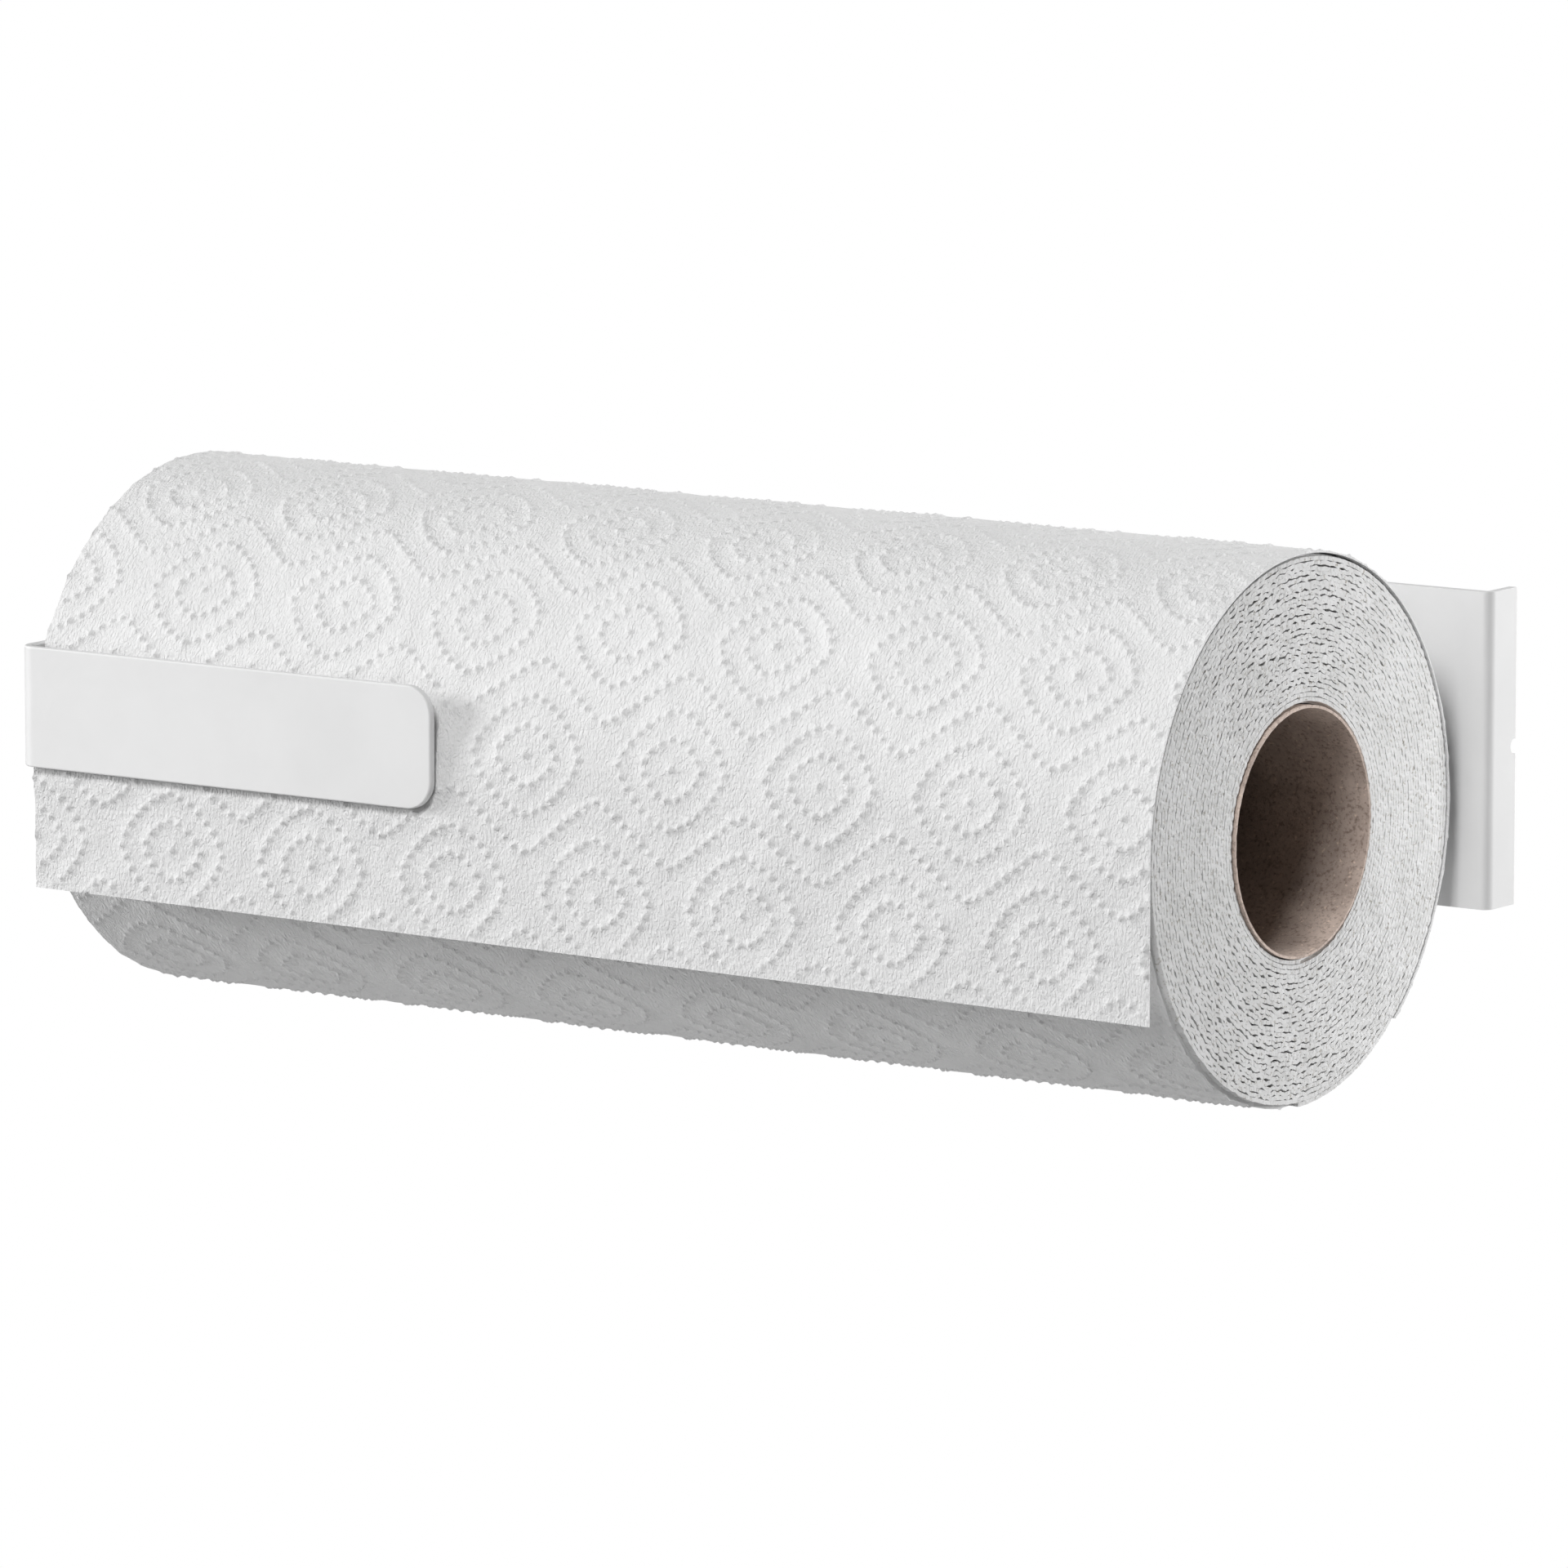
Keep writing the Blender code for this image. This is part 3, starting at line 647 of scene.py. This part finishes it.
def laid_paper_tree(pattern):
    """Embosses a flat net in X and S and lays it over the roll; S below 0 hangs straight down."""
    tree = bpy.data.node_groups.new("laid_paper", "GeometryNodeTree")
    tree_input(tree, "Geometry", "NodeSocketGeometry")
    for name in ("Row Pitch", "Low End", "High End", "Radius", "Start", "Axis Y", "Axis Z", "Seam",
                 "Taut Relief", "Bar End", "Bar Middle", "Bar Half"):
        tree_input(tree, name)
    tree_input(tree, "Material", "NodeSocketMaterial")
    tree.interface.new_socket(name="Geometry", in_out="OUTPUT", socket_type="NodeSocketGeometry")
    given = add_node(tree, "NodeGroupInput").outputs
    position = add_node(tree, "GeometryNodeInputPosition").outputs[0]
    mapped = add_node(tree, "GeometryNodeStoreNamedAttribute",
                      {"Geometry": given["Geometry"], "Name": "UVMap", "Value": position},
                      data_type="FLOAT2", domain="CORNER").outputs[0]
    x, s, back = parts_of(tree, position)
    rows = {"Row Pitch": given["Row Pitch"]}
    dots = add_node(tree, "GeometryNodeGroup", rows, node_tree=pattern).outputs[0]
    level = joined_xyz(tree, x, s, 0.0)
    sample = {0: dots, "Sample Position": level}
    near = add_node(tree, "GeometryNodeProximity", sample, target_element="POINTS")
    raised = ease(tree, near.outputs["Distance"], DOT_TOP, DOT_FOOT, DOT_HEIGHT, 0.0)
    strong = noise(tree, level, 150.0, 1.0)
    slack = ease(tree, s, TAUT_FROM, LOOSE_FROM, given["Taut Relief"], LOOSE_RELIEF)
    fuller = calc(tree, "MULTIPLY", slack, calc(tree, "MULTIPLY_ADD", strong, 0.9, 0.55))
    pressed = calc(tree, "MULTIPLY", raised, fuller)
    pillow = noise(tree, level, 210.0)
    pillowed = calc(tree, "MULTIPLY_ADD", pillow, PILLOW_DEPTH, -PILLOW_DEPTH / 2)
    waved = calc(tree, "MULTIPLY_ADD", noise(tree, level, 38.0, 1.0), WAVE_DEPTH, -WAVE_DEPTH / 2)
    uneven = calc(tree, "ADD", calc(tree, "MULTIPLY", slack, pillowed), waved)
    beside = calc(tree, "SUBTRACT", x, given["Bar End"])
    off_middle = calc(tree, "ABSOLUTE", calc(tree, "SUBTRACT", s, given["Bar Middle"]))
    from_bar = calc(tree, "MAXIMUM", beside, calc(tree, "SUBTRACT", off_middle, given["Bar Half"]))
    free = ease(tree, from_bar, *PRESS_FADE, PRESSED_RELIEF, 1.0)
    rise = ease(tree, from_bar, *SWELL_RISE)
    fall = ease(tree, from_bar, *SWELL_FALL, BAR_SWELL, 0.0)
    swell = calc(tree, "MULTIPLY", rise, fall)
    relief = calc(tree, "MULTIPLY_ADD", calc(tree, "ADD", pressed, uneven), free, swell)
    to_low = calc(tree, "SUBTRACT", s, given["Low End"])
    to_high = calc(tree, "SUBTRACT", given["High End"], s)
    calm = ease(tree, calc(tree, "MINIMUM", to_low, to_high), 0.0, given["Seam"])
    front = calc(tree, "GREATER_THAN", back, -0.00001)
    height = calc(tree, "MULTIPLY_ADD", relief, calc(tree, "MULTIPLY", calm, front), back)
    wound = calc(tree, "DIVIDE", calc(tree, "MAXIMUM", s, 0.0), given["Radius"])
    turn = calc(tree, "ADD", wound, given["Start"])
    drop = calc(tree, "MINIMUM", s, 0.0)
    out = calc(tree, "ADD", given["Radius"], height)
    y = calc(tree, "SUBTRACT", given["Axis Y"], calc(tree, "MULTIPLY", out, calc(tree, "COSINE", turn)))
    up = calc(tree, "MULTIPLY_ADD", out, calc(tree, "SINE", turn), given["Axis Z"])
    laid = joined_xyz(tree, x, y, calc(tree, "ADD", up, drop))
    dressed_output(tree, moved_to(tree, mapped, laid), given["Material"])
    return tree


def grow(name, tree, values, base=None):
    """Runs a geometry tree once, on a base mesh if there is one, and keeps the result as a plain mesh."""
    carrier = bpy.data.objects.new(name + "_carrier", base or bpy.data.meshes.new(name + "_carrier"))
    bpy.context.scene.collection.objects.link(carrier)
    modifier = carrier.modifiers.new("grow", "NODES")
    modifier.node_group = tree
    for item in tree.interface.items_tree:
        if item.in_out == "INPUT" and item.name in values:
            modifier[item.identifier] = values[item.name]
    depsgraph = bpy.context.evaluated_depsgraph_get()
    mesh = bpy.data.meshes.new_from_object(carrier.evaluated_get(depsgraph), depsgraph=depsgraph)
    bpy.data.objects.remove(carrier, do_unlink=True)
    made = bpy.data.objects.new(name, mesh)
    bpy.context.scene.collection.objects.link(made)
    return made


def pattern_dots(row_pitch):
    """The places of the dots in the flat pattern."""
    made = grow("pattern_dots", pattern_tree, {"Row Pitch": row_pitch})
    places = [Vector((corner.co.x, corner.co.y)) for corner in made.data.vertices]
    bpy.data.objects.remove(made, do_unlink=True)
    return places


def even_edge(corners, step):
    """Evenly spaced points round a flat outline, each corner once."""
    points = []
    for start, end in zip(corners, corners[1:] + corners[:1]):
        count = max(1, round((end - start).length / step))
        points += [start.lerp(end, index / count) for index in range(count)]
    return points


def flat_net(corners, dots, rings, fill):
    """Triangles over a flat sheet: an even edge, rings of corners round each dot and a loose fill."""
    points = even_edge(corners, EDGE_STEP)
    edge_count = len(points)
    left, right = corners[0].x, corners[1].x
    slope = (corners[1].y - corners[0].y) / (right - left)
    top = corners[2].y

    def clear_of_edge(point, margin):
        low = corners[0].y + slope * (point.x - left)
        return left + margin < point.x < right - margin and low + margin < point.y < top - margin

    nearest = KDTree(len(dots))
    for index, dot in enumerate(dots):
        nearest.insert(dot.to_3d(), index)
        if not clear_of_edge(dot, -DOT_OVERHANG):
            continue
        for radius, sides in rings:
            for side in range(sides):
                turn = math.tau * (side + 0.37 * index) / sides
                point = dot + Vector((radius * math.cos(turn), radius * math.sin(turn)))
                if clear_of_edge(point, EDGE_STEP / 4):
                    points.append(point)
    nearest.balance()
    low = min(corner.y for corner in corners)
    row_step = TRIANGLE_ROW * fill
    for row in range(int((top - low) / row_step) + 1):
        for column in range(int((right - left) / fill) + 2):
            point = Vector((left + (column + 0.5 * (row % 2)) * fill, low + row * row_step))
            if clear_of_edge(point, 0.5 * fill) and nearest.find(point.to_3d())[2] > DOT_FOOT + FILL_GAP:
                points.append(point)
    rim = [(index, (index + 1) % edge_count) for index in range(edge_count)]
    net = delaunay_2d_cdt(points, rim, [], 1, 1e-8)
    return net[0], net[2], edge_count


def net_mesh(name, places, faces):
    """A mesh of places and faces."""
    mesh = bpy.data.meshes.new(name)
    mesh.from_pydata(places, [], faces)
    return mesh


def towel_paper():
    """Soft white tissue: fine crepe creases that follow the sheet, and a loose fibre grain."""
    made, tree, shader, _ = new_finish("towel_paper", 0.92)
    flat = add_node(tree, "ShaderNodeUVMap", uv_map="UVMap").outputs[0]
    u, v, _ = parts_of(tree, flat)
    stretched = joined_xyz(tree, u, calc(tree, "MULTIPLY", v, CREPE_ACROSS / CREPE_ALONG), 0.0)
    crease = {"Vector": stretched, "Scale": 1.0 / CREPE_ACROSS, "Detail": 1.0, "Distortion": 0.6}
    creases = add_node(tree, "ShaderNodeTexNoise", crease).outputs["Fac"]
    fibre = noise(tree, flat, 2600.0, 3.0)
    tint(tree, shader, noise(tree, flat, 45.0, 3.0), (0.77, 0.77, 0.77), (0.81, 0.81, 0.81), 0.3, 0.7)
    shader.inputs["Sheen Weight"].default_value = 0.15
    shader.inputs["Specular IOR Level"].default_value = 0.2
    crepe = bump(tree, creases, 1.0, CREPE_HEIGHT)
    tree.links.new(bump(tree, fibre, 0.8, 0.00011, crepe), shader.inputs["Normal"])
    return made


paper = towel_paper()
pattern_tree = emboss_pattern_tree()
paper_tree = laid_paper_tree(pattern_tree)


# ---- wound roll --------------------------------------------------------------------------------
# The paper that is still on the roll: its outermost turn carries the embossing, and the body behind
# the wound edges is closed down to the core.
EDGE_DEPTH = 0.0012
ROLL_ROWS = 12
ROLL_START_DEG = 114.0
ROLL_RELIEF = 0.90
ROLL_FILL = 0.0019
ROLL_SEAM = 0.0012
OUTER_PLY = 0.0001
CORE_GAP = 0.0002
ROLL_DOT_RINGS = ((0.0, 1), (0.00036, 5), (0.00072, 6))
roll_radius = (roll_high.z - roll_low.z) / 2
roll_skin = roll_radius + OUTER_PLY
roll_turn = math.tau * roll_skin
roll_row_pitch = roll_turn / ROLL_ROWS


def around(corner):
    """The angle of a corner about the roll's axis."""
    return math.atan2(corner.co.z - roll_z, corner.co.y - roll_y)


def smooth_paper(piece):
    """Smooth shading that keeps the cut edges sharp."""
    piece.data.shade_smooth()
    piece.data.set_sharp_from_angle(angle=math.radians(65))


def close_roll(piece, left, right, bore):
    """Welds the turn's two ends, then closes both sides down to the core."""
    shape = bmesh.new()
    shape.from_mesh(piece.data)
    bmesh.ops.remove_doubles(shape, verts=shape.verts, dist=3e-6)
    inner = []
    for end_x in (left, right):
        outer = sorted((corner for corner in shape.verts if abs(corner.co.x - end_x) < 1e-6), key=around)
        ring = []
        for corner in outer:
            turn = around(corner)
            place = (end_x, roll_y + bore * math.cos(turn), roll_z + bore * math.sin(turn))
            ring.append(shape.verts.new(place))
        for side in range(len(outer)):
            after = (side + 1) % len(outer)
            shape.faces.new((outer[side], outer[after], ring[after], ring[side]))
        inner.append(ring)
    for side in range(len(inner[0])):
        after = (side + 1) % len(inner[0])
        shape.faces.new((inner[0][side], inner[0][after], inner[1][after], inner[1][side]))
    bmesh.ops.recalc_face_normals(shape, faces=shape.faces)
    shape.to_mesh(piece.data)
    shape.free()
    smooth_paper(piece)


roll_left, roll_right = roll_low.x + EDGE_DEPTH, roll_high.x - EDGE_DEPTH
roll_ends = ((roll_left, 0), (roll_right, 0), (roll_right, roll_turn), (roll_left, roll_turn))
roll_corners = [Vector(end) for end in roll_ends]
roll_dots = pattern_dots(roll_row_pitch)
roll_places, roll_faces, _ = flat_net(roll_corners, roll_dots, ROLL_DOT_RINGS, ROLL_FILL)
roll_net = net_mesh("roll_net", [(place.x, place.y, 0.0) for place in roll_places], roll_faces)
roll = grow("paper_roll_body", paper_tree, {
    "Row Pitch": roll_row_pitch, "Low End": 0.0, "High End": roll_turn, "Radius": roll_skin,
    "Start": math.radians(ROLL_START_DEG), "Axis Y": roll_y, "Axis Z": roll_z, "Seam": ROLL_SEAM,
    "Taut Relief": ROLL_RELIEF, "Bar End": -1.0, "Bar Middle": 0.0, "Bar Half": 0.0,
    "Material": paper}, roll_net)
close_roll(roll, roll_left, roll_right, core_radius + CORE_GAP)
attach(roll, "roll")
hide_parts("paper_roll")


# ---- wound edges -------------------------------------------------------------------------------
# The cut sides of the roll: one long spiral of paper, crimped by the embossing, so that its turns wave
# against each other and leave small dark gaps, most of them at the top, the bottom and the front.
TURNS = 30
EDGE_WAVE = 0.0015
EDGE_PLY = 0.00070
EDGE_LIFT = 0.0006
EDGE_PROUD = 0.00015
CORE_FADE = (0.0005, 0.0035)  # the turns next to the core and the rim lie still
RIM_FADE = (0.0002, 0.0020)
CALM_SHARE = 0.1
# Painted shade: the end faces' colour is greyed towards the front of the roll.
FRONT_PAINTED_SHADE = 0.76


def wound_edge_tree():
    """A flat spiral, waved in and out and a little along the axis, with the paper's section swept on it."""
    tree = bpy.data.node_groups.new("wound_edge", "GeometryNodeTree")
    for name in ("Inner Radius", "Outer Radius", "Ply", "Depth", "Wave", "Lift", "Seed"):
        tree_input(tree, name)
    for name in ("Turns", "Steps"):
        tree_input(tree, name, "NodeSocketInt")
    tree_input(tree, "Material", "NodeSocketMaterial")
    tree.interface.new_socket(name="Geometry", in_out="OUTPUT", socket_type="NodeSocketGeometry")
    given = add_node(tree, "NodeGroupInput").outputs
    spiral = add_node(tree, "GeometryNodeCurveSpiral", {
        "Resolution": given["Steps"], "Rotations": given["Turns"], "Start Radius": given["Inner Radius"],
        "End Radius": given["Outer Radius"], "Height": 0.0}).outputs[0]
    position = add_node(tree, "GeometryNodeInputPosition").outputs[0]
    seeded = {"Vector": position, "W": given["Seed"], "Detail": 1.0}
    wave, lift = [
        add_node(tree, "ShaderNodeTexNoise", {**seeded, "Scale": scale}, noise_dimensions="4D").outputs[0]
        for scale in (640.0, 1100.0)]
    x, y, _ = parts_of(tree, position)
    radius = calc(tree, "SQRT", calc(tree, "MULTIPLY_ADD", x, x, calc(tree, "MULTIPLY", y, y)))
    upright = calc(tree, "DIVIDE", calc(tree, "ABSOLUTE", x), radius)
    front = ease(tree, calc(tree, "DIVIDE", y, radius), 0.9, -0.7, 0.0, 0.45)
    sagged = calc(tree, "ADD", ease(tree, upright, 0.25, 0.85, 0.10, 0.85), front)
    off_core = ease(tree, calc(tree, "SUBTRACT", radius, given["Inner Radius"]), *CORE_FADE, CALM_SHARE)
    off_rim = ease(tree, calc(tree, "SUBTRACT", given["Outer Radius"], radius), *RIM_FADE, CALM_SHARE)
    loose = calc(tree, "MULTIPLY", sagged, calc(tree, "MULTIPLY", off_core, off_rim))
    swing = calc(tree, "MULTIPLY", calc(tree, "SUBTRACT", wave, 0.5), given["Wave"])
    swing = calc(tree, "MULTIPLY", swing, loose)
    grown = calc(tree, "DIVIDE", calc(tree, "ADD", radius, swing), radius)
    high = calc(tree, "MULTIPLY", calc(tree, "SUBTRACT", lift, 0.5), given["Lift"])
    waved = joined_xyz(tree, calc(tree, "MULTIPLY", x, grown), calc(tree, "MULTIPLY", y, grown), high)
    moved = moved_to(tree, spiral, waved)
    level = add_node(tree, "GeometryNodeSetCurveNormal", {"Curve": moved}, mode="Z_UP").outputs[0]
    section = add_node(tree, "GeometryNodeCurvePrimitiveQuadrilateral",
                       {"Width": given["Ply"], "Height": given["Depth"]}).outputs[0]
    parts = {"Curve": level, "Profile Curve": section, "Fill Caps": True}
    dressed_output(tree, add_node(tree, "GeometryNodeCurveToMesh", parts).outputs[0], given["Material"])
    return tree


def paper_edge():
    """Cut tissue seen on edge: bright fibre with warm flecks, and painted shade that greys it towards the
    front, where plies stand open.
    """
    made, tree, shader, place = new_finish("paper_edge", 0.95)
    cloud = noise(tree, place, 160.0, 4.0, 0.6)
    base = ramp(tree, cloud, (0.78, 0.78, 0.775), (0.88, 0.88, 0.88), 0.32, 0.62)
    chips = noise(tree, place, 1300.0, 3.0, 0.7)
    fleck = ramp(tree, chips, (0.60, 0.57, 0.52), (1.0, 1.0, 1.0), 0.32, 0.43)
    mixed = mixed_colour(tree, base, fleck, "MULTIPLY")
    # Painted shade: the colour darkens from the back of the roll to its front.
    depths = {"Value": parts_of(tree, place)[1], "From Min": roll_low.y, "From Max": roll_high.y,
              "To Min": FRONT_PAINTED_SHADE, "To Max": 1.0}
    front_painted_shade = add_node(tree, "ShaderNodeMapRange", depths).outputs[0]
    tree.links.new(scaled_colour(tree, mixed, front_painted_shade), shader.inputs["Base Color"])
    shader.inputs["Specular IOR Level"].default_value = 0.1
    tree.links.new(bump(tree, noise(tree, place, 3000.0, 3.0), 0.5, 0.0001), shader.inputs["Normal"])
    return made


edge_paper = paper_edge()
edge_tree = wound_edge_tree()
quarter = Matrix.Rotation(math.radians(90), 4, "Y")
for side, edge_x, steps in (("right", roll_high.x, 620), ("left", roll_low.x, 300)):
    wound = grow(f"wound_edge_{side}", edge_tree, {
        "Inner Radius": core_radius + EDGE_PLY / 2 + CORE_GAP,
        "Outer Radius": roll_radius + EDGE_PROUD - EDGE_PLY / 2,
        "Ply": EDGE_PLY, "Depth": 2 * EDGE_DEPTH, "Wave": EDGE_WAVE, "Lift": EDGE_LIFT,
        "Seed": 3.0 if side == "right" else 8.0, "Turns": TURNS, "Steps": steps, "Material": edge_paper})
    outward = 1 if side == "right" else -1
    place = Matrix.Translation((edge_x - outward * EDGE_DEPTH, roll_y, roll_z))
    wound.data.transform(place @ quarter)
    wound.data.shade_flat()
    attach(wound, "roll")
    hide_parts("paper_roll")


# ---- loose sheet -------------------------------------------------------------------------------
# The outermost turn and its free end, one sheet 229 mm wide: it comes over the top of the roll and hangs
# straight down behind the front bar, torn off at a perforation a little out of square.
SHEET_DOT_RINGS = ((0.0, 1), (0.00036, 6), (0.00072, 8))
SHEET_THICK = 0.00030
SHEET_WRAP_DEG = 230.0
SHEET_PAST_ROLL = 0.0003
HANG_LEFT = 0.0244
HANG_RIGHT = 0.0258
BACK_ACROSS = 0.0080
BACK_ALONG = 0.0024
SHEET_FILL = 0.0017
SHEET_SEAM = 0.0040
HEM_MARGIN = 0.0003
SHEET_SINK = 0.0001
sheet_low, sheet_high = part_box("loose_sheet")
sheet_radius = sheet_high.z - roll_z - SHEET_SINK
sheet_right = roll_high.x + SHEET_PAST_ROLL
wrap = math.radians(SHEET_WRAP_DEG) * sheet_radius


def closed_sheet_net(corners, dots, rings, fill):
    """The sheet's flat solid: the embossed front ply, a plain back ply with few corners, and the rim."""
    front, faces, edge_count = flat_net(corners, dots, rings, fill)
    places = [(place.x, place.y, 0.0) for place in front]
    back_points = [Vector(front[index]) for index in range(edge_count)]
    left, right = corners[0].x, corners[1].x
    across = round((right - left) / BACK_ACROSS)
    low, high = corners[1].y, corners[2].y
    along = round((high - low) / BACK_ALONG)
    for row in range(2, along):
        for column in range(1, across):
            x = left + (right - left) * column / across
            back_points.append(Vector((x, low + (high - low) * row / along)))
    lines = [(index, (index + 1) % edge_count) for index in range(edge_count)]
    back = delaunay_2d_cdt(back_points, lines, [], 1, 1e-8)
    base = len(places)
    places += [(place.x, place.y, -SHEET_THICK) for place in back[0]]
    faces = list(faces) + [tuple(base + corner for corner in reversed(face)) for face in back[2]]
    for index in range(edge_count):
        after = (index + 1) % edge_count
        faces.append((after, index, base + index, base + after))
    return places, faces


sheet_ends = ((sheet_low.x, -HANG_LEFT), (sheet_right, -HANG_RIGHT),
              (sheet_right, wrap), (sheet_low.x, wrap))
sheet_corners = [Vector(end) for end in sheet_ends]
sheet_dots = pattern_dots(ROW_PITCH)
sheet_places, sheet_faces = closed_sheet_net(sheet_corners, sheet_dots, SHEET_DOT_RINGS, SHEET_FILL)
bar_low, bar_high = strip_low.z - roll_z, strip_high.z - roll_z
sheet = grow("loose_sheet_paper", paper_tree, {
    "Row Pitch": ROW_PITCH, "Low End": -HANG_RIGHT - HEM_MARGIN, "High End": 1.0, "Radius": sheet_radius,
    "Start": 0.0, "Axis Y": roll_y, "Axis Z": roll_z, "Seam": SHEET_SEAM,
    "Taut Relief": TAUT_RELIEF, "Bar End": strip_high.x,
    "Bar Middle": (bar_low + bar_high) / 2, "Bar Half": (bar_high - bar_low) / 2,
    "Material": paper}, net_mesh("sheet_net", sheet_places, sheet_faces))
smooth_paper(sheet)
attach(sheet, "carrier")
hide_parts("loose_sheet")


# ---- studio ------------------------------------------------------------------------------------
# A pale round table well below the holder and a white surround. A soft lamp in front and above lights the
# paper, a low one lights the arm from the left and one behind reaches the end face and channel from the
# right. The camera has a long lens and stands a little above the holder on its open side.
FLOOR_Z = -0.34
FLOOR_RADIUS = 0.62
FLOOR_MIDDLE_Y = -0.05
HOLDER_MIDDLE = (0, -0.06, 0)
CAMERA_PLACE = (1.0734, -1.5932, 0.2825)
CAMERA_AZIMUTH = 34.707
CAMERA_DOWN = 8.868
CAMERA_LENS = 255.5


def studio_floor():
    """A matt grey-white disc."""
    made, tree, shader, place = new_finish("studio_floor", 0.6)
    tint(tree, shader, noise(tree, place, 8.0, 3.0), (0.55, 0.55, 0.55), (0.60, 0.60, 0.60))
    shape = bmesh.new()
    bmesh.ops.create_circle(shape, cap_ends=True, segments=128, radius=FLOOR_RADIUS)
    bmesh.ops.translate(shape, vec=(0, FLOOR_MIDDLE_Y, FLOOR_Z), verts=shape.verts)
    return link_mesh("studio_floor", shape, made)


def lamp(name, place, aim, size, power):
    """A square soft lamp that points at its aim."""
    data = bpy.data.lights.new(name, "AREA")
    data.size = size
    data.energy = power
    made = bpy.data.objects.new(name, data)
    made.location = place
    direction = made.location - Vector(aim)
    made.rotation_euler = direction.to_track_quat("Z", "Y").to_euler()
    bpy.context.scene.collection.objects.link(made)


def surround():
    """White to the eye; as a light it is brighter above than below, and fades to the right."""
    world = bpy.data.worlds.new("surround")
    world.use_nodes = True
    tree = world.node_tree
    sky = tree.nodes["Background"]
    direction = add_node(tree, "ShaderNodeTexCoord").outputs["Generated"]
    right, _, up = parts_of(tree, direction)
    height = calc(tree, "MULTIPLY_ADD", up, 0.5, 0.5)
    shade = ramp(tree, height, (0.29, 0.29, 0.295), (0.46, 0.46, 0.46), 0.30, 0.70)
    tree.links.new(shade, sky.inputs["Color"])
    tree.links.new(ease(tree, right, -0.15, 0.60, 0.64, 0.05), sky.inputs["Strength"])
    white = add_node(tree, "ShaderNodeBackground", {"Color": (1, 1, 1, 1), "Strength": 1.0})
    seen = add_node(tree, "ShaderNodeLightPath").outputs["Is Camera Ray"]
    both = add_node(tree, "ShaderNodeMixShader", {0: seen, 1: sky.outputs[0], 2: white.outputs[0]})
    tree.links.new(both.outputs[0], tree.nodes["World Output"].inputs["Surface"])
    bpy.context.scene.world = world


studio_floor()
surround()
lamp("key", (0.36, -1.15, 0.95), HOLDER_MIDDLE, 0.40, 13.5)
lamp("left", (-1.50, -0.72, 0.34), HOLDER_MIDDLE, 0.50, 17.5)
lamp("right", (1.05, 1.00, 0.30), (0.1, -0.06, 0), 0.60, 22.0)
bpy.context.scene.view_settings.view_transform = "Standard"

camera_data = bpy.data.cameras.new("camera")
camera_data.lens = CAMERA_LENS
camera_data.sensor_width = 36.0
camera_data.clip_end = 30.0
camera = bpy.data.objects.new("camera", camera_data)
camera.location = CAMERA_PLACE
camera.rotation_euler = (math.radians(90 - CAMERA_DOWN), 0, math.radians(CAMERA_AZIMUTH))
bpy.context.scene.collection.objects.link(camera)
bpy.context.scene.camera = camera
